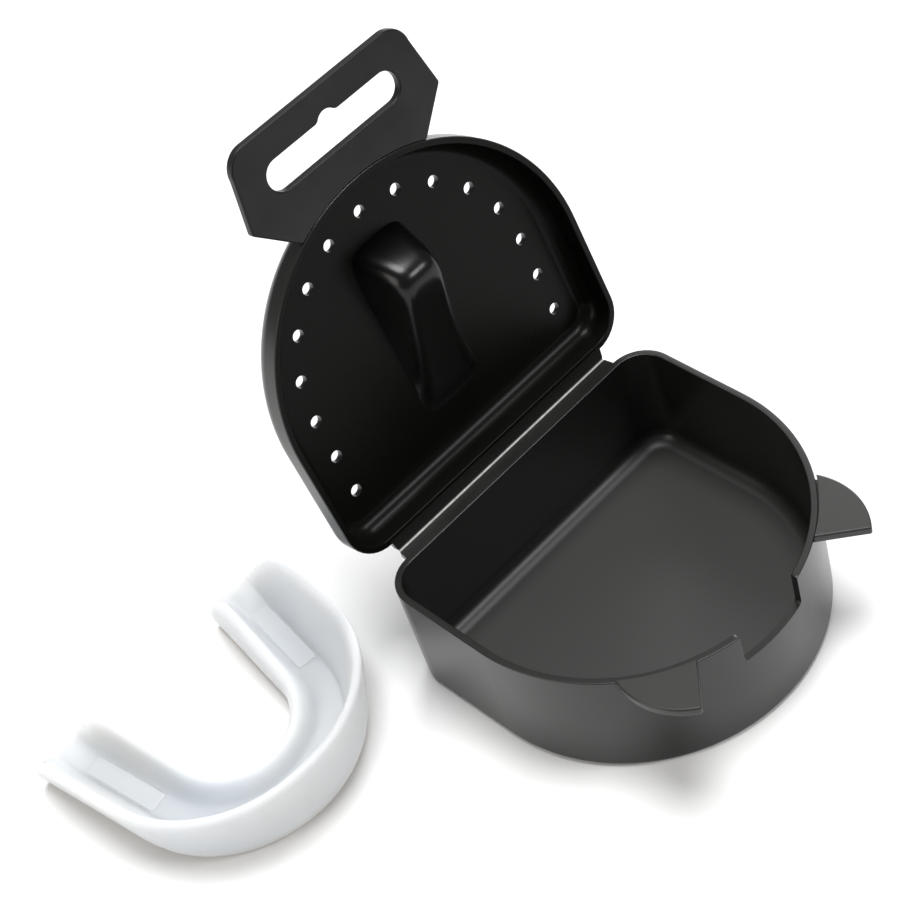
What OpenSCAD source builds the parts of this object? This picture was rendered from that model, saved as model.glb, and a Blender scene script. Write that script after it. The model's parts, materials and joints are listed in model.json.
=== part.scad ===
// Mouthguard with its carrying case: a one-piece moulded clamshell (deep tray, shallow lid,
// living hinge, hang tab) and a soft horseshoe mouthguard beside it.
// Origin: on the tray's underside, at the centre of its round front. +Z up, the hinge is at +Y
// and the hang tab's side is at -Y. The lid stands open, as the case is shown.

/* [Case outline] */
// Radius of the round front, half the case's width
front_r = 40; // [36:0.5:44]
// Distance from the centre of the front arc to the straight back wall
back_y = 29.6; // [24:0.2:36]
// Radius of the two back corners
corner_r = 8.1; // [6.5:0.1:12]
// Wall thickness of tray and lid
wall = 1.5; // [1.2:0.1:2]

/* [Tray] */
// Height of the tray, from its underside to its rim
tray_h = 28.5; // [22:0.5:34]
// Radius of the fillet between the tray's floor and its walls
tray_fillet = 3.5; // [2:0.1:5]
// Radius of the tray's outer bottom edge
tray_edge = 1.5; // [0.5:0.1:3]
// Width of the thumb notch in the front rim
notch_w = 17; // [10:0.5:20]
// Depth of the thumb notch
notch_d = 7.8; // [4:0.1:10]

/* [Lid] */
// Depth of the lid, from its rim to its outer face
lid_h = 8.4; // [7:0.1:12]
// Radius of the lid's outer edge
lid_edge = 5; // [3:0.1:6]
// Angle between the rims, as the lid stands open
open_angle = 104; // [0:1:180]
// Gap between the two rims when the lid is shut
rim_gap = 0.2; // [0.1:0.05:0.5]

/* [Air holes] */
// Diameter of each air hole
hole_d = 2.6; // [1.5:0.1:4]
// Distance between neighbouring holes along their row
hole_pitch = 9.4; // [6:0.1:9.8]
// Distance from the lid's outline to the row of holes
hole_inset = 9.9; // [8:0.1:12]
// Number of holes on each side of the middle one
holes_per_side = 7; // [3:1:7]

/* [Hollow boss in the lid] */
// Width of the boss where it leaves the lid
boss_w = 15.6; // [12:0.2:20]
// Width of the boss across its crest
boss_crest_w = 10; // [8:0.2:12]
// Height of the crest above the lid's inner face
boss_h = 12; // [8:0.5:16]
// Front end of the boss
boss_front_y = -24; // [-26:0.5:-20]
// Back end of the boss
boss_back_y = 17.7; // [12:0.1:20]
// Place of the crest
boss_crest_y = -17; // [-18:0.5:-14]

/* [Hinge] */
// Distance from the back wall to the hinge axis
hinge_gap = 2.4; // [2:0.1:4]
// Length of the hinge leaves
hinge_w = 64; // [40:1:64]
// Thickness of each leaf
leaf_t = 1.4; // [1:0.1:2]
// Radius of the thin bead that stands for the bending web
web_r = 0.3; // [0.2:0.05:0.4]
// Gap between the bead and the lid's leaf when the lid lies flat back
web_gap = 0.1; // [0.05:0.05:0.3]

/* [Hang tab] */
// Thickness of the tab
tab_t = 2; // [1.5:0.1:3]
// Half width of the tab at its widest
tab_half_w = 25; // [20:0.5:26]
// Distance from the arc's centre to the tab's outer edge
tab_end_y = 60; // [55:0.5:66]
// Radius of the tab's outer corners
tab_corner_r = 5; // [3:0.5:6]
// Length of the hanging slot, end to end
slot_l = 34; // [24:1:36]
// Width of the hanging slot
slot_w = 6.5; // [5:0.1:8]
// Distance from the slot's middle line to the tab's outer edge
slot_edge = 9.6; // [8:0.1:10]
// Radius of the hook notch in the slot's outer side
hook_r = 2.6; // [1.5:0.1:4]
// Distance from the slot's middle line to the centre of the hook notch
hook_out = 2; // [1:0.1:3]

/* [Ears] */
// Radius of each ear's curved side
ear_r = 15.5; // [14:0.1:17]
// Height of the ears' top above the tray's rim
ear_rise = 1.3; // [0.8:0.1:2]
// Thickness of the ears
ear_t = 2; // [1.5:0.1:3]
// Gap between an ear and the lid or its tab when the case is shut
ear_gap = 0.35; // [0.2:0.05:0.6]

/* [Mouthguard] */
// Radius of the front bend, outside
guard_r = 29; // [26:0.5:32]
// Length of the guard from front to rear
guard_l = 57; // [50:0.5:60]
// Angle by which each leg opens outwards
guard_flare = 8; // [4:0.5:12]
// Width of the bite band with both its walls
guard_band = 16; // [14:0.5:18]
// Thickness of the outer wall
guard_outer_t = 3; // [2:0.1:4]
// Height of the outer wall at the front
guard_outer_h = 20; // [16:0.5:24]
// Thickness of the inner wall
guard_inner_t = 3; // [2:0.1:4]
// Height of the inner wall
guard_inner_h = 13; // [10:0.5:16]
// Thickness of the bite floor
guard_floor_t = 5; // [3:0.5:6]
// Middle of the guard, to the left of the case
guard_x = -76; // [-100:0.5:-76]
// Rear end of the guard
guard_rear_y = 75; // [50:1:80]

/* [Hidden] */
$fn = 96;
eps = 0.01;
over = 1;

hinge_y = back_y + hinge_gap;
hinge_z = tray_h + rim_gap / 2;
lid_in_h = lid_h - wall;

// Row of air holes: an arc about the front's centre that runs on straight beside the walls
row_r = front_r - hole_inset;
arc_len = row_r * PI / 2;
function hole_xy(s) =
    s <= arc_len
    ? [row_r * sin(s / row_r * 180 / PI), -row_r * cos(s / row_r * 180 / PI)]
    : [row_r, s - arc_len];

// The flank that tab and ears share runs at 45 degrees from the rim
flank_x = 16.9;
flank_y = -sqrt(front_r * front_r - flank_x * flank_x);
ear_x = 15.6;
ear_y = -32;

case_colour = "#1b1b1d";
guard_colour = "#e9eef2";

// ---------- shared outlines ----------

// Section of a rounded-bottom block: it reaches len outwards and h upwards
module edge_section(len, h, r) {
    difference() {
        square([len, h]);
        translate([len - r, 0]) difference() {
            translate([0, -over]) square([r + over, r + over]);
            translate([0, r]) circle(r);
        }
    }
}

// D-shaped block, set in from the case's outline and rounded along its bottom edge
module d_block(inset, h, r) {
    side = front_r - inset;
    span = front_r - corner_r;
    corner = corner_r - inset;
    straight = back_y - corner_r;
    rotate([0, 0, 180]) rotate_extrude(angle = 180) edge_section(side, h, r);
    translate([0, straight, 0]) rotate([90, 0, 0]) linear_extrude(straight) {
        edge_section(side, h, r);
        mirror([1, 0]) edge_section(side, h, r);
    }
    for (s = [0, 1]) mirror([s, 0, 0]) translate([span, straight, 0])
        rotate_extrude(angle = 90) edge_section(corner, h, r);
    translate([-span, straight, 0]) rotate([90, 0, 90]) linear_extrude(2 * span)
        edge_section(corner, h, r);
}

// Puts a shape, drawn for the shut lid with its rim at z = 0, where the open lid stands
module on_lid() {
    translate([0, hinge_y, hinge_z]) rotate([-open_angle, 0, 0])
        translate([0, -hinge_y, rim_gap / 2]) children();
}

// ---------- tray ----------

module base_tray() {
    color(case_colour) difference() {
        d_block(0, tray_h, tray_edge);
        translate([0, 0, wall]) d_block(wall, tray_h, tray_fillet);
        translate([-notch_w / 2, -front_r - over, tray_h - notch_d])
            cube([notch_w, front_r / 2, notch_d + over]);
    }
}

// Outline of the right ear, with the given inner radius
module ear_outline(inner_r) {
    difference() {
        translate([ear_x, ear_y]) circle(ear_r);
        circle(inner_r);
        translate([flank_x, flank_y]) rotate(45)
            translate([ear_gap - 2 * ear_r, -2 * ear_r]) square([2 * ear_r, 4 * ear_r]);
    }
}

// Plate of the right ear: its lower part meets the tray's wall, its upper part clears the lid
module ear_plate() {
    translate([0, 0, tray_h + ear_rise - ear_t]) linear_extrude(ear_t - ear_rise)
        ear_outline(front_r);
    translate([0, 0, tray_h]) linear_extrude(ear_rise)
        ear_outline(front_r + ear_gap);
}

module base_ear_right() {
    color(case_colour) ear_plate();
}

module base_ear_left() {
    color(case_colour) mirror([1, 0, 0]) ear_plate();
}

// Outline of a leaf, a little narrower at the hinge, where it stops short of the axis
module leaf_outline(short) {
    half = hinge_w / 2;
    slope = 0.4;
    polygon([[-half, back_y], [half, back_y],
             [half - slope, hinge_y - short], [slope - half, hinge_y - short]]);
}

module base_hinge_leaf() {
    color(case_colour) translate([0, 0, tray_h - leaf_t]) linear_extrude(leaf_t)
        leaf_outline(web_r);
}

// Bead along the hinge axis, level with the rim and touching the tray's leaf
module hinge_web() {
    inset = 1;
    color(case_colour) translate([inset - hinge_w / 2, hinge_y, tray_h - web_r])
        rotate([0, 90, 0]) cylinder(r = web_r, h = hinge_w - 2 * inset);
}

// ---------- lid ----------

// Side view of the boss, crest down, with its outer faces moved in by t
module boss_side(t) {
    nose_l = 1.5;
    nose_h = 2.5;
    crest_l = 3;
    tail_h = 1;
    crest = t - boss_h;
    polygon([[boss_front_y + t, over], [boss_crest_y - nose_l + t, crest + nose_h],
             [boss_crest_y, crest], [boss_crest_y + crest_l, crest],
             [boss_back_y - t, -tail_h], [boss_back_y - t, over]]);
}

// End view of the boss: walls with draft and bevelled shoulders
module boss_end(t) {
    shoulder = 2.5;
    foot = boss_w / 2 - t;
    side = boss_crest_w / 2 - t;
    crest = t - boss_h;
    polygon([[-foot, over], [-side, crest + shoulder], [shoulder - side, crest],
             [side - shoulder, crest], [side, crest + shoulder], [foot, over]]);
}

// Plan of the boss: a long rectangle with round corners
module boss_plan(t) {
    r = 4 - t;
    half = boss_w / 2 - t;
    front = boss_front_y + t;
    back = boss_back_y - t;
    for (s = [-1, 1]) for (y = [front + r, back - r]) translate([s * (half - r), y]) circle(r);
    translate([-half, front + r]) square([2 * half, back - front - 2 * r]);
    translate([r - half, front]) square([2 * half - 2 * r, back - front]);
}

// Boss body with its faces moved in by t, hanging from z = 0
module boss_body(t) {
    intersection() {
        rotate([90, 0, 90]) translate([0, 0, -boss_w]) linear_extrude(2 * boss_w) boss_side(t);
        rotate([90, 0, 0]) translate([0, 0, -2 * front_r]) linear_extrude(4 * front_r)
            boss_end(t);
        translate([0, 0, -2 * boss_h]) linear_extrude(2 * boss_h + over) boss_plan(t);
    }
}

module lid_boss() {
    color(case_colour) on_lid() translate([0, 0, lid_in_h]) difference() {
        boss_body(0);
        boss_body(wall);
        translate([-boss_w, -front_r, 0]) cube([2 * boss_w, 2 * front_r, 2 * over]);
    }
}

module lid_pan() {
    color(case_colour) on_lid() difference() {
        translate([0, 0, lid_h]) mirror([0, 0, 1]) difference() {
            d_block(0, lid_h, lid_edge);
            translate([0, 0, wall]) d_block(wall, lid_h, lid_edge - wall);
        }
        for (s = [-1, 1]) for (k = [0 : holes_per_side]) {
            p = hole_xy(k * hole_pitch);
            translate([s * p[0], p[1], 0]) cylinder(d = hole_d, h = 2 * lid_h);
        }
        translate([0, 0, lid_in_h - over]) linear_extrude(wall + 2 * over) boss_plan(wall);
    }
}

// The lid's leaf stops a little shorter, so that it clears the bead when the lid lies flat back
module lid_hinge_leaf() {
    color(case_colour) on_lid() linear_extrude(leaf_t) leaf_outline(web_r + web_gap);
}

// Plan of the tab: its flanks open at 45 degrees to the widest point, then close in a little
module tab_outline() {
    root = 4;
    taper = 2;
    neck_y = flank_y - (tab_half_w - flank_x);
    end_x = tab_half_w - taper;
    difference() {
        polygon([[root - flank_x, flank_y + root], [flank_x - root, flank_y + root],
                 [tab_half_w, neck_y], [end_x, tab_corner_r - tab_end_y], [end_x, -tab_end_y],
                 [-end_x, -tab_end_y], [-end_x, tab_corner_r - tab_end_y], [-tab_half_w, neck_y]]);
        for (s = [0, 1]) mirror([s, 0])
            translate([end_x - tab_corner_r, tab_corner_r - tab_end_y]) difference() {
                translate([0, -2 * tab_corner_r]) square(2 * tab_corner_r);
                circle(tab_corner_r);
            }
        circle(front_r);
        slot_outline();
    }
}

// Hanging slot with round ends and a hook notch in the middle of its outer side
module slot_outline() {
    slot_y = slot_edge - tab_end_y;
    end_x = (slot_l - slot_w) / 2;
    for (s = [-1, 1]) translate([s * end_x, slot_y]) circle(d = slot_w);
    translate([-end_x, slot_y - slot_w / 2]) square([2 * end_x, slot_w]);
    translate([0, slot_y - hook_out]) circle(hook_r);
}

module hang_tab() {
    color(case_colour) on_lid() linear_extrude(tab_t) tab_outline();
}

// ---------- mouthguard ----------

// Section of the bite band: x runs outwards from the bend's centre
module guard_section() {
    inner = guard_r - guard_band;
    edge = 2;
    difference() {
        translate([inner, 0]) square([guard_band, guard_outer_h]);
        translate([inner + guard_inner_t, guard_floor_t])
            square([guard_band - guard_inner_t - guard_outer_t, guard_outer_h]);
        translate([inner - over, guard_inner_h])
            square([guard_inner_t + 2 * over, guard_outer_h]);
        translate([guard_r - edge, 0]) difference() {
            square([edge + over, edge]);
            translate([0, edge]) circle(edge);
        }
    }
}

// Space above the guard: its walls are highest in front and come down to the rear ends
module guard_sky() {
    rear_h = 7;
    leg_h = 14;
    leg_y = -9;
    front_y = 16 - guard_l;
    top = 3 * guard_outer_h;
    rotate([90, 0, 90]) translate([0, 0, -2 * guard_r]) linear_extrude(4 * guard_r)
        polygon([[eps, rear_h], [leg_y, leg_h], [front_y, guard_outer_h + eps],
                 [front_y, top], [eps, top]]);
}

// Right half of the band, straight leg and half of the bend, about the bend's centre
module guard_half() {
    rotate([0, 0, -guard_flare]) {
        rotate([90, 0, 0]) translate([0, 0, -guard_l]) linear_extrude(guard_l) guard_section();
        rotate([0, 0, -90]) rotate_extrude(angle = 90) guard_section();
    }
}

module mouthguard() {
    color(guard_colour) translate([guard_x, guard_rear_y, 0]) difference() {
        translate([0, guard_r - guard_l, 0]) {
            guard_half();
            mirror([1, 0, 0]) guard_half();
        }
        translate([-2 * guard_r, 0, -over]) cube([4 * guard_r, guard_l, 2 * guard_outer_h]);
        guard_sky();
    }
}

base_tray();
base_ear_left();
base_ear_right();
base_hinge_leaf();
hinge_web();
lid_pan();
lid_boss();
lid_hinge_leaf();
hang_tab();
mouthguard();
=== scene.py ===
import json
import math

import bmesh
import bpy
from mathutils import Matrix, Vector


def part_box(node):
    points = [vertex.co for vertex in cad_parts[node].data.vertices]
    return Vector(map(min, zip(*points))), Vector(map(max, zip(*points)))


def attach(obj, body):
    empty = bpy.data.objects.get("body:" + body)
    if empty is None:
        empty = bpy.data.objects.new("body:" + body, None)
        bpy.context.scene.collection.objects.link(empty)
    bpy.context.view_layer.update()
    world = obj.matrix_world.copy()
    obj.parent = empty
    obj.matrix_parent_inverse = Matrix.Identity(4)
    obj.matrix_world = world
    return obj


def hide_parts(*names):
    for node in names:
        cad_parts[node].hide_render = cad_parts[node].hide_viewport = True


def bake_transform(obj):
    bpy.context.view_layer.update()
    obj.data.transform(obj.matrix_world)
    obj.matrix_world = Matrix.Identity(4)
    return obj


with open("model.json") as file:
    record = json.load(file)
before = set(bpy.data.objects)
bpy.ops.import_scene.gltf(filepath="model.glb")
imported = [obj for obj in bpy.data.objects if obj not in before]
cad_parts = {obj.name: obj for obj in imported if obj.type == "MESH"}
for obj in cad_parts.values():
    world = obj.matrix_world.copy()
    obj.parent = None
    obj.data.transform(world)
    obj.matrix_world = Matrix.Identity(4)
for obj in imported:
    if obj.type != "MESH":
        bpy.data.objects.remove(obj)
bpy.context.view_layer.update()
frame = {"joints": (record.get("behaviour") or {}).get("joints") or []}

# Every shape is made in millimetres, in the frame's own axes, and scaled to metres at the end.
MM = 0.001


def box_mm(node):
    lo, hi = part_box(node)
    return lo / MM, hi / MM


# ---------- sizes, from the frame ----------

TRAY_HI = box_mm("base_tray")[1]
LEAF_LO, LEAF_HI = box_mm("base_hinge_leaf")
EAR_LO, EAR_HI = box_mm("base_ear_right")
GUARD_LO, GUARD_HI = box_mm("mouthguard")
HINGE = next(j for j in frame["joints"] if j["name"] == "lid_hinge")
HINGE_Y, HINGE_Z = HINGE["pos_m"][1] / MM, HINGE["pos_m"][2] / MM
OPEN_ANGLE = HINGE["range_deg"][1]

FRONT_R = TRAY_HI.x
BACK_Y = TRAY_HI.y
TRAY_H = TRAY_HI.z
RIM_GAP = 2 * (HINGE_Z - TRAY_H)
# The rest is the case's design, in millimetres
CORNER_R = 8.1
WALL = 1.5
TRAY_FILLET = 3.5
TRAY_EDGE = 1.5
NOTCH_W = 17
NOTCH_D = 7.8
NOTCH_ROUND = 0.7
LEAF_ROOT = 0.75
LEAF_TAPER = 0.4
HINGE_GAP = 0.4
LID_H = 8.4
LID_EDGE = 5
LID_IN_H = LID_H - WALL
HOLE_R = 1.3
HOLE_PITCH = 9.4
HOLE_ROW_R = FRONT_R - 9.9
HOLES_PER_SIDE = 7
RIM_ROUND = 0.22
EDGE_BEVEL = 0.14
SHARP_EDGE = 40
# How far neighbours on one body reach into each other
SUNK = 0.1
TOLERANCE = 0.1


# ---------- mesh helpers ----------

def arc(cx, cy, r, start, end, steps):
    """Points on an arc, both ends included, angles in degrees."""
    turn = [math.radians(start + (end - start) * k / steps) for k in range(steps + 1)]
    return [(cx + r * math.cos(a), cy + r * math.sin(a)) for a in turn]


def loft(rings):
    """A closed mesh through rings of points, capped at both ends; each ring is a closed loop with
    the same count."""
    bm = bmesh.new()
    loops = [[bm.verts.new(p) for p in ring] for ring in rings]
    count = len(loops[0])
    for a, b in zip(loops, loops[1:]):
        for k in range(count):
            bm.faces.new((a[k], a[(k + 1) % count], b[(k + 1) % count], b[k]))
    bm.faces.new(loops[0][::-1])
    bm.faces.new(loops[-1])
    bmesh.ops.recalc_face_normals(bm, faces=bm.faces)
    return bm


def prism(outline, z0, z1):
    return loft([[(x, y, z) for x, y in outline] for z in (z0, z1)])


def to_object(name, bm):
    mesh = bpy.data.meshes.new(name)
    bm.to_mesh(mesh)
    bm.free()
    obj = bpy.data.objects.new(name, mesh)
    bpy.context.scene.collection.objects.link(obj)
    return obj


def apply_modifiers(obj):
    """Replaces the object's mesh with the result of its modifiers."""
    graph = bpy.context.evaluated_depsgraph_get()
    mesh = bpy.data.meshes.new_from_object(obj.evaluated_get(graph))
    obj.modifiers.clear()
    obj.data = mesh


def combine(obj, bm, operation):
    """Cuts a closed mesh out of the object, or fuses it on."""
    tool = to_object("tool", bm)
    mod = obj.modifiers.new("combine", "BOOLEAN")
    mod.operation = operation
    mod.solver = "EXACT"
    mod.object = tool
    apply_modifiers(obj)
    bpy.data.objects.remove(tool)


def bevel(obj, width=EDGE_BEVEL, segments=2):
    """Rounds the sharp edges."""
    mod = obj.modifiers.new("bevel", "BEVEL")
    mod.width = width
    mod.segments = segments
    mod.limit_method = "ANGLE"
    mod.angle_limit = math.radians(SHARP_EDGE)
    apply_modifiers(obj)


def dress(obj, body, nodes, material, place=None, sharp=38, weighted=True):
    """Scales a finished mesh to metres, shades it smooth and hands it to the frame."""
    mesh = obj.data
    if place is not None:
        mesh.transform(place)
    mesh.transform(Matrix.Scale(MM, 4))
    mesh.materials.clear()
    mesh.materials.append(material)
    for face in mesh.polygons:
        face.use_smooth = True
    mesh.set_sharp_from_angle(angle=math.radians(sharp))
    if weighted:
        mod = obj.modifiers.new("normals", "WEIGHTED_NORMAL")
        mod.keep_sharp = True
        mod.weight = 90
        apply_modifiers(obj)
    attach(obj, body)
    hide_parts(*nodes)


# ---------- materials ----------

# The part of its range that noise mostly fills
NOISE_LOW, NOISE_HIGH = 0.3, 0.7
PLASTIC_IOR = 1.46
ELASTOMER_IOR = 1.48
# Upward lean of the surface's normal from which the plastic turns matte and its colour turns
# lighter, painted light on upward faces, and where it is fully so
MATTE_AND_LIT_FROM, MATTE_AND_LIT_TO = 0.35, 0.97
# Height below which flat surfaces are matte and painted lighter, in metres; this default is above
# everything
MATTE_EVERYWHERE = 0.2
MATTE_FADE = 0.004
# How matte and how much painted lighter the rim is, and how far in front of the back rim that
# starts and is complete; by the hinge the rim stays dark, painted shade under the open lid
RIM_LIT_SHARE = 0.25
RIM_START, RIM_FULL = 1.5, 3.5
# The crease, whitened by bending and painted brighter as a highlight: its half width where it
# starts to fade and where it has gone, in metres
CREASE_CORE, CREASE_EDGE = 0.00006, 0.00022
CREASE_Y = HINGE_Y - 0.1
WARM_TOP = 0.0045
WARM_TINT = (0.67, 0.61, 0.52, 1)


def new_material(name):
    """A node material, its tree, its shader and its texture coordinates."""
    mat = bpy.data.materials.new(name)
    mat.use_nodes = True
    tree = mat.node_tree
    shader = tree.nodes["Principled BSDF"]
    return mat, tree, shader, tree.nodes.new("ShaderNodeTexCoord").outputs


def noise(tree, place, scale, detail=2.0, rough=0.5):
    node = tree.nodes.new("ShaderNodeTexNoise")
    node.inputs["Scale"].default_value = scale
    node.inputs["Detail"].default_value = detail
    node.inputs["Roughness"].default_value = rough
    tree.links.new(place, node.inputs["Vector"])
    return node.outputs["Fac"]


def ramp(tree, value, *stops):
    """Colour ramp from (position, colour) pairs."""
    node = tree.nodes.new("ShaderNodeValToRGB")
    points = node.color_ramp.elements
    while len(points) < len(stops):
        points.new(0.5)
    for point, (position, colour) in zip(points, stops):
        point.position = position
        point.color = (*colour, 1)
    tree.links.new(value, node.inputs["Fac"])
    return node.outputs["Color"]


def fade(tree, value, start, end, low=0.0, high=1.0):
    """Runs from low at start to high at end, and stays level beyond them."""
    node = tree.nodes.new("ShaderNodeMapRange")
    node.inputs["From Min"].default_value = start
    node.inputs["From Max"].default_value = end
    node.inputs["To Min"].default_value = low
    node.inputs["To Max"].default_value = high
    tree.links.new(value, node.inputs["Value"])
    return node.outputs["Result"]


def span(tree, value, low, high):
    """Spreads noise over low..high."""
    return fade(tree, value, NOISE_LOW, NOISE_HIGH, low, high)


def maths(tree, operation, first, second=None):
    """Maths on one socket, or on two."""
    node = tree.nodes.new("ShaderNodeMath")
    node.operation = operation
    tree.links.new(first, node.inputs[0])
    if second is not None:
        tree.links.new(second, node.inputs[1])
    return node.outputs["Value"]


def mix(tree, kind, share, first, second):
    """Mix of two sockets, of kind FLOAT or RGBA; second may be a fixed colour."""
    node = tree.nodes.new("ShaderNodeMix")
    node.data_type = kind
    tree.links.new(share, node.inputs["Factor"])
    tree.links.new(first, node.inputs["A"])
    if isinstance(second, tuple):
        node.inputs["B"].default_value = second
    else:
        tree.links.new(second, node.inputs["B"])
    return node.outputs["Result"]


def axes(tree, vector):
    """The X, Y and Z sockets of a vector."""
    node = tree.nodes.new("ShaderNodeSeparateXYZ")
    tree.links.new(vector, node.inputs["Vector"])
    return node.outputs


def bump(tree, height, distance, strength, below=None):
    """Bump, on top of another one if below is given."""
    node = tree.nodes.new("ShaderNodeBump")
    node.inputs["Distance"].default_value = distance
    node.inputs["Strength"].default_value = strength
    tree.links.new(height, node.inputs["Height"])
    if below is not None:
        tree.links.new(below, node.inputs["Normal"])
    return node.outputs["Normal"]


def mottled(tree, cloud, colour, amount):
    """A colour that clouds over between darker and lighter by amount."""
    dark, light = (tuple(c * k for c in colour) for k in (1 - amount, 1 + amount))
    return ramp(tree, cloud, (NOISE_LOW, dark), (NOISE_HIGH, light))


def moulded_plastic(name, dark, light, polish, matte, specular,
                    matte_top=MATTE_EVERYWHERE, cloudy=0.1):
    """Black polypropylene: polished where it is upright, matte where it lies flat. Its colour is
    painted darker where it is upright, painted shade, and lighter where it lies flat, painted
    light. Above matte_top only the rim is matte and lighter, and only a little."""
    mat, tree, shader, coords = new_material(name)
    place = coords["Object"]
    cloud = noise(tree, place, 45, 3)
    spot = axes(tree, place)
    flat = fade(tree, axes(tree, coords["Normal"])["Z"], MATTE_AND_LIT_FROM, MATTE_AND_LIT_TO)
    low = fade(tree, spot["Z"], matte_top + MATTE_FADE, matte_top)
    # painted shade: the rim by the hinge keeps the dark colour; painted light: the rest of the rim
    # is a little lighter
    rim = fade(tree, spot["Y"], (BACK_Y - RIM_START) * MM, (BACK_Y - RIM_FULL) * MM, 0, RIM_LIT_SHARE)
    share = maths(tree, "MULTIPLY", flat, maths(tree, "MAXIMUM", low, rim))
    # painted shade on upright faces (dark colour) and painted light on flat faces (light colour)
    upright = mottled(tree, cloud, dark, cloudy)
    lying = mottled(tree, cloud, light, 0.03)
    tree.links.new(mix(tree, "RGBA", share, upright, lying), shader.inputs["Base Color"])
    upright = span(tree, cloud, polish - 0.015, polish + 0.015)
    lying = span(tree, cloud, matte - 0.01, matte + 0.015)
    tree.links.new(mix(tree, "FLOAT", share, upright, lying), shader.inputs["Roughness"])
    flow = bump(tree, noise(tree, place, 160), 0.00008, 0.05)
    grain = bump(tree, noise(tree, place, 2600, 2, 0.6), 0.00003, 0.35, flow)
    tree.links.new(grain, shader.inputs["Normal"])
    shader.inputs["IOR"].default_value = PLASTIC_IOR
    shader.inputs["Specular IOR Level"].default_value = specular
    return mat


def creased_film_with_highlight(name):
    """The hinge film: the case's plastic, with a thin light line along the middle that is partly
    whitening from bending and partly a painted highlight.
    """
    mat, tree, shader, coords = new_material(name)
    place = coords["Object"]
    off = tree.nodes.new("ShaderNodeMath")
    off.operation = "SUBTRACT"
    off.inputs[1].default_value = CREASE_Y * MM
    tree.links.new(axes(tree, place)["Y"], off.inputs[0])
    crease_highlight = fade(tree, maths(tree, "ABSOLUTE", off.outputs["Value"]), CREASE_EDGE, CREASE_CORE)
    line = maths(tree, "MULTIPLY", crease_highlight, span(tree, noise(tree, place, 700), 0.6, 1.0))
    # painted highlight: the crease line turns light grey, partly stress whitening
    colour = ramp(tree, line, (0.0, (0.016, 0.016, 0.0155)), (1.0, (0.42, 0.42, 0.41)))
    tree.links.new(colour, shader.inputs["Base Color"])
    tree.links.new(span(tree, noise(tree, place, 300), 0.2, 0.26), shader.inputs["Roughness"])
    tree.links.new(bump(tree, noise(tree, place, 1800), 0.00002, 0.15), shader.inputs["Normal"])
    shader.inputs["IOR"].default_value = PLASTIC_IOR
    return mat


def milky_elastomer(name):
    """Soft translucent EVA: milky, faintly blue in its body and warm along its lower edge."""
    mat, tree, shader, coords = new_material(name)
    place = coords["Object"]
    body = ramp(tree, noise(tree, place, 28, 3), (0.3, (0.54, 0.568, 0.603)),
                (0.5, (0.572, 0.592, 0.612)), (0.72, (0.60, 0.608, 0.61)))
    low = fade(tree, axes(tree, place)["Z"], WARM_TOP, 0.0, 0.0, 0.6)
    tree.links.new(mix(tree, "RGBA", low, body, WARM_TINT), shader.inputs["Base Color"])
    haze = noise(tree, place, 240, 3, 0.6)
    tree.links.new(span(tree, haze, 0.36, 0.46), shader.inputs["Roughness"])
    flow = bump(tree, noise(tree, place, 90), 0.0003, 0.08)
    fine = bump(tree, noise(tree, place, 1500, 2, 0.6), 0.00003, 0.08, flow)
    tree.links.new(fine, shader.inputs["Normal"])
    shader.inputs["IOR"].default_value = ELASTOMER_IOR
    shader.inputs["Specular IOR Level"].default_value = 0.28
    shader.inputs["Subsurface Weight"].default_value = 1.0
    shader.inputs["Subsurface Radius"].default_value = (1.0, 0.95, 0.9)
    shader.inputs["Subsurface Scale"].default_value = 0.006
    return mat


# ---------- the case's outline ----------

FRONT_STEPS, CORNER_STEPS = 120, 10


def d_outline(inset):
    """The case's outline moved in by inset: round front, straight sides, two round corners."""
    span_x, span_y = FRONT_R - CORNER_R, BACK_Y - CORNER_R
    corner = CORNER_R - inset
    return (arc(0, 0, FRONT_R - inset, 180, 360, FRONT_STEPS)
            + arc(span_x, span_y, corner, 0, 90, CORNER_STEPS)
            + arc(-span_x, span_y, corner, 90, 180, CORNER_STEPS))


def d_shell(profile):
    """Shell swept round the outline from a section of (inset, z) points."""
    return loft([[(x, y, z) for x, y in d_outline(inset)] for inset, z in profile])


def on_lid():
    """Puts a shape drawn for the shut lid, with its rim at z = 0, where the open lid stands."""
    return (Matrix.Translation((0, HINGE_Y, HINGE_Z))
            @ Matrix.Rotation(math.radians(-OPEN_ANGLE), 4, "X")
            @ Matrix.Translation((0, -HINGE_Y, RIM_GAP / 2)))


def leaf(z0, z1, reach):
    """Hinge leaf that grows out of the back rim and stops short of the hinge line."""
    half, end, root = LEAF_HI.x, LEAF_HI.x - LEAF_TAPER, BACK_Y - LEAF_ROOT
    outline = [(-half, root), (half, root), (end, reach), (-end, reach)]
    return prism(outline, z0, z1)


# ---------- tray ----------

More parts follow.
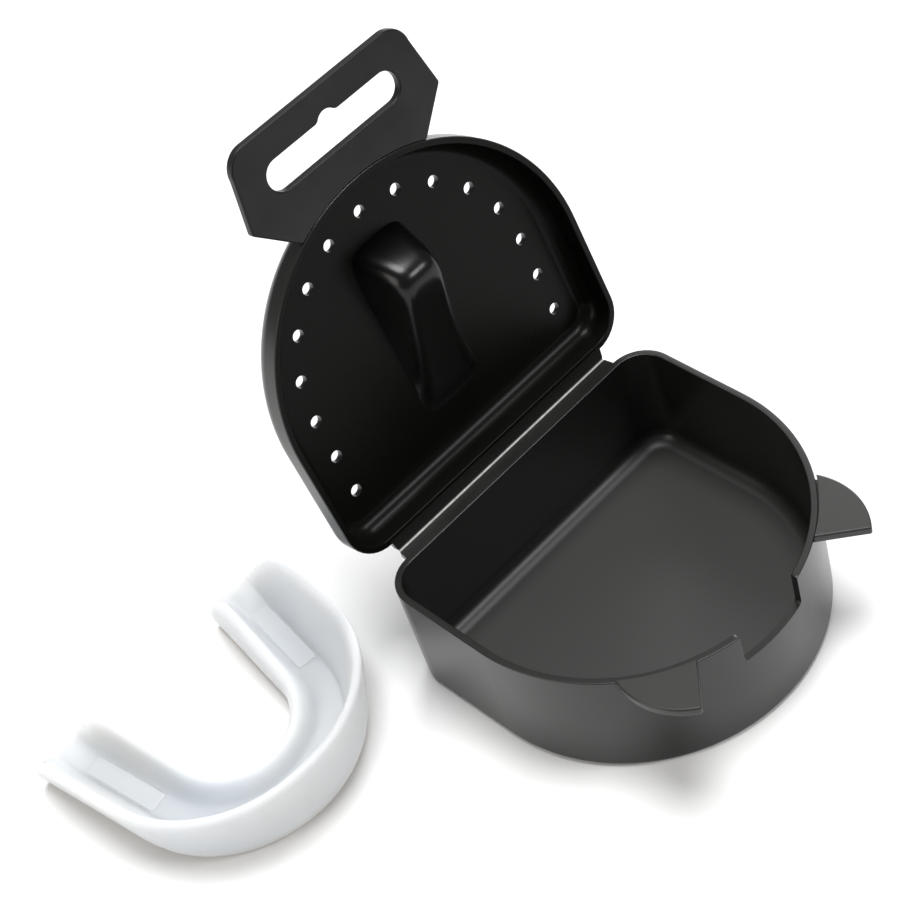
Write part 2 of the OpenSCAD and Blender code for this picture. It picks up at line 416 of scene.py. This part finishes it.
def tray(material):
    edge, fil = TRAY_EDGE, TRAY_FILLET
    profile = (arc(edge, edge, edge, 270, 180, 6)
               + arc(RIM_ROUND, TRAY_H - RIM_ROUND, RIM_ROUND, 180, 90, 3)
               + arc(WALL - RIM_ROUND, TRAY_H - RIM_ROUND, RIM_ROUND, 90, 0, 3)
               + arc(WALL + fil, WALL + fil, fil, 180, 270, 10))
    obj = to_object("tray_shell", d_shell(profile))
    half, bottom, rnd = NOTCH_W / 2, TRAY_H - NOTCH_D, NOTCH_ROUND
    notch = ([(-half, TRAY_H + 1)] + arc(rnd - half, bottom + rnd, rnd, 180, 270, 4)
             + arc(half - rnd, bottom + rnd, rnd, 270, 360, 4) + [(half, TRAY_H + 1)])
    cutter = loft([[(x, y, z) for x, z in notch] for y in (-FRONT_R - 1, -FRONT_R / 2)])
    combine(obj, cutter, "DIFFERENCE")
    combine(obj, leaf(LEAF_LO.z, LEAF_HI.z, LEAF_HI.y), "UNION")
    bevel(obj)
    dress(obj, "base", ["base_tray", "base_hinge_leaf"], material)


# ---------- ears ----------

EAR_CENTRE = (15.6, -32)
EAR_R = 15.5
FLANK_X = 16.9
EAR_GAP = 0.35
EAR_ROUND = 0.42
GROOVE_DEPTH = 0.5


def ear_outline(inner_r, side):
    """Outline of an ear: rim arc, curved side and the straight flank beside the tab."""
    flank_y = -math.sqrt(FRONT_R ** 2 - FLANK_X ** 2)
    level = FLANK_X + flank_y + EAR_GAP * math.sqrt(2)
    cx, cy = EAR_CENTRE
    # where the flank line x + y = level meets the curved side
    mid = (cx + cy - level) / 2
    reach = math.sqrt(EAR_R ** 2 / 2 - mid ** 2)
    tip = (cx - mid + reach, cy - mid - reach)
    # where it meets the rim arc
    reach = math.sqrt(inner_r ** 2 / 2 - level ** 2 / 4)
    root = (level / 2 + reach, level / 2 - reach)
    # where the curved side meets the rim arc
    dist = math.hypot(cx, cy)
    along = (inner_r ** 2 - EAR_R ** 2 + dist ** 2) / (2 * dist)
    off = math.sqrt(inner_r ** 2 - along ** 2)
    far = ((along * cx - off * cy) / dist, (along * cy + off * cx) / dist)
    a_tip = math.degrees(math.atan2(tip[1] - cy, tip[0] - cx))
    a_far = math.degrees(math.atan2(far[1] - cy, far[0] - cx))
    r_far = math.degrees(math.atan2(far[1], far[0]))
    r_root = math.degrees(math.atan2(root[1], root[0]))
    points = arc(cx, cy, EAR_R, a_tip, a_far, 24)[:-1] + arc(0, 0, inner_r, r_far, r_root, 16)
    return [(side * x, y) for x, y in points]


def ear(name, node, side, material):
    """Ear beside the tab: its root sits on the wall, with a groove between it and the rim."""
    groove_z, groove_r = TRAY_H - GROOVE_DEPTH, FRONT_R + EAR_GAP
    bm = prism(ear_outline(FRONT_R - SUNK, side), EAR_LO.z, EAR_HI.z)
    free = {v for v in bm.verts if math.hypot(v.co.x, v.co.y) > groove_r + TOLERANCE}
    edges = [e for e in bm.edges if e.calc_face_angle(0) > math.radians(SHARP_EDGE)
             and (e.verts[0] in free or e.verts[1] in free)]
    bmesh.ops.bevel(bm, geom=edges, offset=EAR_ROUND, segments=4, profile=0.5,
                    affect="EDGES", clamp_overlap=True)
    obj = to_object(name, bm)
    combine(obj, prism(arc(0, 0, groove_r, 0, 358, 179), groove_z, EAR_HI.z + 1), "DIFFERENCE")
    dress(obj, "base", [node], material)


# ---------- lid ----------

BOSS_W = 15.6
BOSS_FRONT = -24
BOSS_BACK = 17.7
BOSS_H = 12
BOSS_CREST_Y = -15.5
BOSS_SUMMIT_Y = -12
BOSS_NOSE_RUN = 8.8
BOSS_SIDE_RUN = 4.4
BOSS_BACK_R = 6
BOSS_MIN = 0.5
CREST_SOFT = 1.8
BOSS_STEPS = 16
OVAL_STEPS = 24


def half_oval(cx, cy, rx, ry, power, start):
    """Half of a superellipse, from start degrees on, both ends included."""
    points = []
    for k in range(OVAL_STEPS + 1):
        a = math.radians(start + 180 * k / OVAL_STEPS)
        c, s = math.cos(a), math.sin(a)
        points.append((cx + rx * math.copysign(abs(c) ** (2 / power), c),
                       cy + ry * math.copysign(abs(s) ** (2 / power), s)))
    return points


def shoulder(run):
    """Height share of the boss's side: a straight draft that rounds over into the crest."""
    if run == 0:
        return 0.0
    steep, tight = 1.75, 4
    return (1 + (steep * run) ** -tight) ** (-1 / tight)


def boss_ring(run, fill, shrink):
    """One ring of the boss: run goes from its foot, 0, up to its crest, 1, and fill closes the
    crest. The crest is level at the nose, then falls off in a straight line to the back."""
    half = (BOSS_W / 2 - shrink - BOSS_SIDE_RUN * run) * fill
    front_r = (BOSS_SUMMIT_Y - BOSS_FRONT - shrink - BOSS_NOSE_RUN * run) * fill
    back_y = BOSS_BACK - shrink - BOSS_BACK_R
    back_r = (BOSS_BACK_R - BOSS_SIDE_RUN * run) * fill
    # square corners at the foot, round ones at the crest
    power = 4.7 - 2.2 * run
    plan = half_oval(0, back_y, half, back_r, power, 0)
    side = [k / 40 for k in range(1, 40)]
    plan += [(-half, back_y + (BOSS_SUMMIT_Y - back_y) * t) for t in side]
    plan += half_oval(0, BOSS_SUMMIT_Y, half, front_r, power, 180)
    plan += [(half, BOSS_SUMMIT_Y + (back_y - BOSS_SUMMIT_Y) * t) for t in side]
    share = shoulder(run) / shoulder(1)
    fall = BOSS_H / (BOSS_BACK - BOSS_CREST_Y)
    ring = []
    for x, y in plan:
        past = CREST_SOFT * math.log1p(math.exp((y - BOSS_CREST_Y) / CREST_SOFT))
        height = max(BOSS_H - past * fall, BOSS_MIN) - shrink
        ring.append((x, y, LID_IN_H - share * height))
    return ring


def boss_rings(shrink):
    """Rings from the boss's foot to its crest."""
    rings = [boss_ring(k / BOSS_STEPS, 1, shrink) for k in range(BOSS_STEPS + 1)]
    return rings + [boss_ring(1, fill, shrink) for fill in (0.75, 0.5, 0.25, 0.05)]


def lid_boss(material):
    """Hollow boss: its outer skin, its pocket and the foot that joins the two."""
    outer, pocket = boss_rings(0), boss_rings(WALL)
    for rings in (outer, pocket):
        rings.insert(0, [(x, y, LID_IN_H + SUNK) for x, y, _ in rings[0]])
    obj = to_object("boss_skin", loft(pocket[::-1] + outer))
    dress(obj, "lid", ["lid_boss"], material, on_lid(), sharp=60)


def hole_centre(k):
    """Centre of the k-th air hole from the middle: round the front, then along the side."""
    s = k * HOLE_PITCH
    bend = HOLE_ROW_R * math.pi / 2
    if s > bend:
        return HOLE_ROW_R, s - bend
    return HOLE_ROW_R * math.sin(s / HOLE_ROW_R), -HOLE_ROW_R * math.cos(s / HOLE_ROW_R)


def faces_out(face):
    """True for a face of the lid's outer skin, which takes the tray's plastic; the inside takes a
    darker copy, painted shade.
    """
    x, y, z = face.center
    if z > LID_IN_H + TOLERANCE:
        return True
    if y > BACK_Y - CORNER_R:
        nx = max(0.0, abs(x) - (FRONT_R - CORNER_R))
        inset = CORNER_R - math.hypot(nx, y - (BACK_Y - CORNER_R))
    elif y > 0:
        inset = FRONT_R - abs(x)
    else:
        inset = FRONT_R - math.hypot(x, y)
    return inset < WALL / 2


def lid_pan(inside, outside):
    edge, fil = LID_EDGE, LID_EDGE - WALL
    profile = (arc(edge, LID_H - edge, edge, 90, 180, 12)
               + arc(RIM_ROUND, RIM_ROUND, RIM_ROUND, 180, 270, 3)
               + arc(WALL - RIM_ROUND, RIM_ROUND, RIM_ROUND, 270, 360, 3)
               + arc(WALL + fil, LID_IN_H - fil, fil, 180, 90, 10))
    obj = to_object("lid_shell", d_shell(profile))
    for side in (-1, 1):
        for k in range(HOLES_PER_SIDE + 1):
            if k == 0 and side == -1:
                continue
            x, y = hole_centre(k)
            circle = arc(side * x, y, HOLE_R, 0, 350, 35)
            combine(obj, prism(circle, LID_IN_H - 1, LID_H + 1), "DIFFERENCE")
    pocket = [(x, y) for x, y, _ in boss_ring(0, 1, WALL)]
    combine(obj, prism(pocket, LID_IN_H - 1, LID_H + 1), "DIFFERENCE")
    combine(obj, leaf(0, LEAF_HI.z - LEAF_LO.z, HINGE_Y - HINGE_GAP), "UNION")
    bevel(obj)
    outer = [faces_out(face) for face in obj.data.polygons]
    dress(obj, "lid", ["lid_pan", "lid_hinge_leaf"], inside, on_lid())
    obj.data.materials.append(outside)
    for face, is_outer in zip(obj.data.polygons, outer):
        face.material_index = int(is_outer)


# ---------- hang tab ----------

TAB_HALF = 25
TAB_END = 60
TAB_TAPER = 2
TAB_T = 2
TAB_ROUND = 5
SLOT_L = 34
SLOT_W = 6.5
SLOT_Y = -50.4
HOOK_R = 2.6
HOOK_OUT = 2
HOOK_FILLET = 1.6
TAB_BEVEL = 0.45
TAB_CORNER = 0.8


def tab_half_outline():
    """Right half of the tab, counter-clockwise from the middle of its root to the slot's inner
    side."""
    flank_y = -math.sqrt(FRONT_R ** 2 - FLANK_X ** 2)
    a_root = math.degrees(math.atan2(flank_y, FLANK_X))
    end_x = TAB_HALF - TAB_TAPER
    outline = arc(0, 0, FRONT_R - 0.05, -90, a_root, 20)
    shoulder_y = flank_y - (TAB_HALF - FLANK_X) - 0.15
    outline += arc(TAB_HALF - TAB_CORNER, shoulder_y, TAB_CORNER, 45, -10, 4)
    outline += arc(end_x - TAB_ROUND, TAB_ROUND - TAB_END, TAB_ROUND, 0, -90, 14)
    outline += [(0, -TAB_END)]
    # the slot: hook notch, outer side, round end, inner side
    r = SLOT_W / 2
    side_y = SLOT_Y - r
    hook_y = SLOT_Y - HOOK_OUT
    fillet_drop = side_y - HOOK_FILLET - hook_y
    fillet_x = math.sqrt((HOOK_R + HOOK_FILLET) ** 2 - fillet_drop ** 2)
    a_hook = math.degrees(math.atan2(fillet_drop, fillet_x))
    outline += arc(0, hook_y, HOOK_R, -90, a_hook, 10)
    outline += arc(fillet_x, side_y - HOOK_FILLET, HOOK_FILLET, 180 + a_hook, 90, 6)
    outline += arc(SLOT_L / 2 - r, SLOT_Y, r, -90, 90, 24)
    outline += [(0, SLOT_Y + r)]
    return outline


def hang_tab(material):
    """Flat tab with a slot: two mirrored halves that share only their middle edges."""
    bm = bmesh.new()
    for side in (1, -1):
        flat = [(side * x, y) for x, y in tab_half_outline()]
        low = [bm.verts.new((x, y, 0)) for x, y in flat]
        high = [bm.verts.new((x, y, TAB_T)) for x, y in flat]
        bm.faces.new(low)
        bm.faces.new(high)
        for k in range(len(flat)):
            n = (k + 1) % len(flat)
            if abs(flat[k][0]) > 1e-6 or abs(flat[n][0]) > 1e-6:
                bm.faces.new((low[k], low[n], high[n], high[k]))
    bmesh.ops.remove_doubles(bm, verts=bm.verts, dist=1e-4)
    bmesh.ops.recalc_face_normals(bm, faces=bm.faces)
    obj = to_object("tab_plate", bm)
    bevel(obj, TAB_BEVEL, 4)
    dress(obj, "lid", ["hang_tab"], material, on_lid())


# ---------- living hinge ----------

FILM_T = 0.32
FILM_LAP = 0.15
FILM_INSET = 0.6
FILM_SUNK = 0.02
FILM_STEPS = 10
FILM_STOPS = 24


def hinge_film(material):
    """Thin curved film between the two leaves, drawn as they stand with the lid open."""
    half = LEAF_HI.x - FILM_INSET
    lid = on_lid()
    # the film's ends, just under the surface of the two leaves
    a = Vector((LEAF_HI.y - FILM_LAP, TRAY_H - FILM_SUNK))
    b = (lid @ Vector((0, HINGE_Y - HINGE_GAP - FILM_LAP, FILM_SUNK))).yz
    elbow = Vector((HINGE_Y - 0.05, HINGE_Z - 0.12))
    inner = [(1 - t) ** 2 * a + 2 * t * (1 - t) * elbow + t * t * b
             for t in (k / FILM_STEPS for k in range(FILM_STEPS + 1))]
    outer = []
    for k, p in enumerate(inner):
        ahead = inner[min(k + 1, FILM_STEPS)] - inner[max(k - 1, 0)]
        normal = Vector((ahead.y, -ahead.x)).normalized()
        outer.append(p + normal * FILM_T)
    section = inner + outer[::-1]
    stops = [-half + 2 * half * k / FILM_STOPS for k in range(FILM_STOPS + 1)]
    obj = to_object("hinge_film", loft([[(x, p.x, p.y) for p in section] for x in stops]))
    mesh = obj.data
    mesh.transform(Matrix.Scale(MM, 4))
    mesh.materials.append(material)
    for face in mesh.polygons:
        face.use_smooth = True
    mesh.set_sharp_from_angle(angle=math.radians(50))
    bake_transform(obj)
    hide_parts("hinge_web")


# ---------- mouthguard ----------

GUARD_R = 29
GUARD_FLARE = 8
GUARD_BAND = 16
GUARD_MIDDLE = (GUARD_LO.x + GUARD_HI.x) / 2
GUARD_BEND_Y = GUARD_LO.y + GUARD_R
BEND_STEPS = 13
END_SHRINK = 0.86
PLATE_FOOT, PLATE_SHOULDER, PLATE_TOP = 3.5, 4.62, 4.78
PLATE_CORNER = 0.7
# Heights of the walls and the channel floor, and the outer wall's lean, by distance from the rear
# end
OUTER_WALL = [(0, 6.4), (1.2, 6.9), (3.5, 9.8), (7, 12.8), (12, 14.9), (20, 16.2), (40, 18.2),
              (74, 20.0)]
INNER_WALL = [(0, 6.2), (1.2, 6.7), (3.5, 9.2), (7, 12.0), (12, 13.5), (19, 13.0), (32, 10.6),
              (48, 8.7), (74, 8.0)]
FLOOR = [(0, 5.9), (3, 5.6), (8, 4.7), (14, 4.4), (74, 4.5)]
LEAN = [(0, 0.3), (5, 1.3), (14, 2.3), (40, 3.0), (74, 2.8)]


def along(table, x):
    """Smooth value between the table's points."""
    for (x0, y0), (x1, y1) in zip(table, table[1:]):
        if x <= x1:
            t = max(0.0, (x - x0) / (x1 - x0))
            k = table.index((x0, y0))
            before = table[max(k - 1, 0)]
            after = table[min(k + 2, len(table) - 1)]
            m0 = (y1 - before[1]) / (x1 - before[0]) * (x1 - x0)
            m1 = (after[1] - y0) / (after[0] - x0) * (x1 - x0)
            return ((2 * t ** 3 - 3 * t ** 2 + 1) * y0 + (t ** 3 - 2 * t ** 2 + t) * m0
                    + (3 * t ** 2 - 2 * t ** 3) * y1 + (t ** 3 - t ** 2) * m1)
    return table[-1][1]


def guard_section(rear):
    """Section of the guard as (outwards, up) points, for a distance from the rear end."""
    out_h, in_h = along(OUTER_WALL, rear), along(INNER_WALL, rear)
    floor, lean = along(FLOOR, rear), along(LEAN, rear)
    out_rise, in_rise = out_h - floor, in_h - floor
    inner = -GUARD_BAND
    return [
        (-8.0, 0), (-3.6, 0), (-1.7, 0.25), (-0.55, 1.3), (-0.15, 3.0), (0.22, 3.4),
        (0.1 + 0.3 * lean, 0.45 * out_h), (0.1 + 0.72 * lean, 0.78 * out_h),
        (lean + 0.1, out_h - 0.9), (lean - 0.5, out_h + 0.1),
        (lean - 1.6, out_h + 0.1), (lean - 2.5, out_h - 0.9),
        (0.5 * lean - 3.0, floor + 0.56 * out_rise), (-3.6, floor + 0.2 * out_rise),
        (-4.6, floor + 0.25), (-4.9, floor), (-5.4, floor - 0.02), (-8.0, floor), (-10.2, floor),
        (-11.1, floor + 0.14 * in_rise), (-12.1, floor + 0.52 * in_rise), (-12.9, in_h - 0.7),
        (inner + 2.2, in_h + 0.1), (inner + 0.9, in_h - 0.1),
        (inner + 0.1, in_h - 1.3), (inner, 0.5 * in_h), (inner + 0.2, 1.4), (inner + 1.4, 0.1),
        (-12.0, 0),
    ]


def right_leg():
    """The right leg's direction to the rear, its outward direction and its length."""
    flare = math.radians(GUARD_FLARE)
    rearward = Vector((math.sin(flare), math.cos(flare)))
    outward = Vector((math.cos(flare), -math.sin(flare)))
    length = (GUARD_HI.y - GUARD_BEND_Y + GUARD_R * math.sin(flare)) / math.cos(flare)
    return rearward, outward, length


def guard_stations():
    """Stations from the left rear end round the front to the right one:
    place on the outer wall's foot, outward direction, distance from the nearer rear end."""
    flare = math.radians(GUARD_FLARE)
    rearward, outward, leg = right_leg()
    centre = Vector((GUARD_MIDDLE, GUARD_BEND_Y))
    start = centre + GUARD_R * outward
    right = []
    for rear in (0, 0.7, 2.0, 3.8, 6.2, 9.2, 12.6, 16.5, 21, 26):
        turn = flare * min(1.0, rear / 20)
        out = Vector((math.cos(turn), -math.sin(turn)))
        right.append((start + (leg - rear) * rearward, out, rear))
    quarter = math.pi / 2 - flare
    bend = GUARD_R * quarter
    for k in range(BEND_STEPS + 1):
        angle = -flare - quarter * k / BEND_STEPS
        out = Vector((math.cos(angle), math.sin(angle)))
        right.append((centre + GUARD_R * out, out, leg + bend * k / BEND_STEPS))
    left = [(Vector((2 * centre.x - p.x, p.y)), Vector((-o.x, o.y)), d) for p, o, d in right[:-1]]
    return left + right[::-1]


def plate(side):
    """Thin blank plate for the channel floor of one leg, as a closed mesh."""
    flare = math.radians(GUARD_FLARE)
    rearward, outward, leg = right_leg()
    start = Vector((GUARD_MIDDLE + GUARD_R * math.cos(flare),
                    GUARD_BEND_Y - GUARD_R * math.sin(flare)))
    # its sides by distance outwards, its ends by distance from the rear end, and each corner's arc
    right, left, front, back = -5.3, -9.9, 30, 10
    r = PLATE_CORNER
    centres = [(right - r, front - r, 0), (right - r, back + r, -90),
               (left + r, back + r, -180), (left + r, front - r, 90)]
    rings = []
    for z, inset in ((PLATE_FOOT, 0), (PLATE_SHOULDER, 0), (PLATE_TOP, 0.2)):
        corners = []
        for n, d, turn in centres:
            corners += arc(n, d, r - inset, 90 + turn, turn, 4)
        flat = [start + outward * n + rearward * (leg - d) for n, d in corners]
        rings.append([(GUARD_MIDDLE + side * (p.x - GUARD_MIDDLE), p.y, z) for p in flat])
    return loft(rings)


def mouthguard(material):
    rings = []
    for place, out, rear in guard_stations():
        rings.append([(place.x + out.x * n, place.y + out.y * n, z)
                      for n, z in guard_section(rear)])
    # a smaller ring inside each end keeps the ends flat with a round edge
    for end in (0, -1):
        ring = [Vector(p) for p in rings[end]]
        middle = sum(ring, Vector()) / len(ring)
        small = [tuple(middle + (p - middle) * END_SHRINK) for p in ring]
        rings.insert(0 if end == 0 else len(rings), small)
    obj = to_object("mouthguard_body", loft(rings))
    mod = obj.modifiers.new("smooth", "SUBSURF")
    mod.levels = 3
    apply_modifiers(obj)
    for side in (-1, 1):
        combine(obj, plate(side), "UNION")
    dress(obj, "guard", ["mouthguard"], material, sharp=30, weighted=False)


# ---------- stage ----------

# The floor's half width, and how far it lies below the object, in metres
FLOOR_HALF = 20.0
FLOOR_DROP = 0.0001


def area_light(name, place, aim, size, power, colour=(1, 1, 1)):
    data = bpy.data.lights.new(name, "AREA")
    data.shape = "RECTANGLE"
    data.size, data.size_y = size
    data.energy = power
    data.color = colour
    obj = bpy.data.objects.new(name, data)
    obj.location = place
    obj.rotation_mode = "QUATERNION"
    obj.rotation_quaternion = (Vector(aim) - Vector(place)).to_track_quat("-Z", "Y")
    bpy.context.scene.collection.objects.link(obj)


def overhead_light(toward, strength, width):
    """Wide soft overhead light, even over the whole floor; width in degrees."""
    data = bpy.data.lights.new("overhead", "SUN")
    data.energy = strength
    data.angle = math.radians(width)
    obj = bpy.data.objects.new("overhead", data)
    obj.rotation_mode = "QUATERNION"
    obj.rotation_quaternion = Vector(toward).to_track_quat("Z", "Y")
    bpy.context.scene.collection.objects.link(obj)


def floor():
    """Wide plain floor, so that low views see no edge of it."""
    bm = bmesh.new()
    bmesh.ops.create_grid(bm, x_segments=8, y_segments=8, size=FLOOR_HALF)
    obj = to_object("floor", bm)
    mat, _, shader, _ = new_material("pale_floor")
    shader.inputs["Base Color"].default_value = (0.86, 0.86, 0.86, 1)
    shader.inputs["Roughness"].default_value = 0.9
    shader.inputs["Specular IOR Level"].default_value = 0.0
    obj.data.materials.append(mat)
    obj.location.z = -FLOOR_DROP


def camera():
    """Camera at the object's front left, above it and rolled."""
    azimuth, elevation, roll = math.radians(-30.3), math.radians(46.0), math.radians(-20.1)
    aim, distance = Vector((-1.7, 49.7, 20)) * MM, 448 * MM
    back = Vector((math.sin(azimuth) * math.cos(elevation),
                   -math.cos(azimuth) * math.cos(elevation), math.sin(elevation)))
    level = Vector((math.cos(azimuth), math.sin(azimuth), 0))
    up = back.cross(level)
    x_axis = level * math.cos(roll) + up * math.sin(roll)
    y_axis = up * math.cos(roll) - level * math.sin(roll)
    data = bpy.data.cameras.new("camera")
    data.lens = 82.5
    data.sensor_width = 36
    data.clip_start = 0.01
    obj = bpy.data.objects.new("camera", data)
    turn = Matrix((x_axis, y_axis, back)).transposed().to_4x4()
    obj.matrix_world = Matrix.Translation(aim + back * distance) @ turn
    bpy.context.scene.collection.objects.link(obj)
    bpy.context.scene.camera = obj


def lighting():
    world = bpy.data.worlds.new("studio")
    world.use_nodes = True
    back = world.node_tree.nodes["Background"]
    back.inputs["Color"].default_value = (1, 1, 1, 1)
    back.inputs["Strength"].default_value = 0.2
    bpy.context.scene.world = world
    overhead_light((0.15, 0.05, 1.45), 2.7, 27)
    area_light("right", (0.9, 0.6, 0.5), (0.1, 0, 0), (0.5, 0.7), 8)
    area_light("left", (-0.9, 0.1, 0.45), (0, 0, 0), (0.5, 0.7), 4, (1, 0.97, 0.93))
    area_light("glint", (0.34, -0.64, 0.68), (0, 0.03, 0.07), (0.30, 0.22), 3.2)
    bpy.context.scene.view_settings.view_transform = "Standard"


# ---------- build ----------

# Each plastic's light colour is painted light on its upward faces, and its dark colour is painted
# shade on its upright ones
tray_plastic = moulded_plastic(
    "tray_plastic", dark=(0.010, 0.010, 0.0094), light=(0.021, 0.021, 0.020),
    polish=0.25, matte=0.46, specular=0.5, matte_top=0.008)
ear_plastic = moulded_plastic(
    "ear_plastic", dark=(0.014, 0.014, 0.0134), light=(0.019, 0.019, 0.018),
    polish=0.24, matte=0.4, specular=0.45)
# The open lid's inside and its boss take darker, less reflective copies of the case's plastic:
# painted shade
shaded_lid_plastic = moulded_plastic(
    "shaded_lid_plastic", dark=(0.0032, 0.0032, 0.0027), light=(0.0042, 0.0042, 0.0036),
    polish=0.28, matte=0.28, specular=0.11)
shaded_boss_plastic = moulded_plastic(
    "shaded_boss_plastic", dark=(0.0028, 0.0028, 0.0025), light=(0.0032, 0.0032, 0.003),
    polish=0.26, matte=0.26, specular=0.36)
tab_plastic = moulded_plastic(
    "tab_plastic", dark=(0.0085, 0.0087, 0.0088), light=(0.015, 0.015, 0.0147),
    polish=0.30, matte=0.38, specular=0.27, cloudy=0.8)

tray(tray_plastic)
ear("ear_right", "base_ear_right", 1, ear_plastic)
ear("ear_left", "base_ear_left", -1, ear_plastic)
lid_pan(shaded_lid_plastic, tray_plastic)
lid_boss(shaded_boss_plastic)
hang_tab(tab_plastic)
hinge_film(creased_film_with_highlight("film_plastic_with_highlight"))
mouthguard(milky_elastomer("guard_elastomer"))

floor()
camera()
lighting()
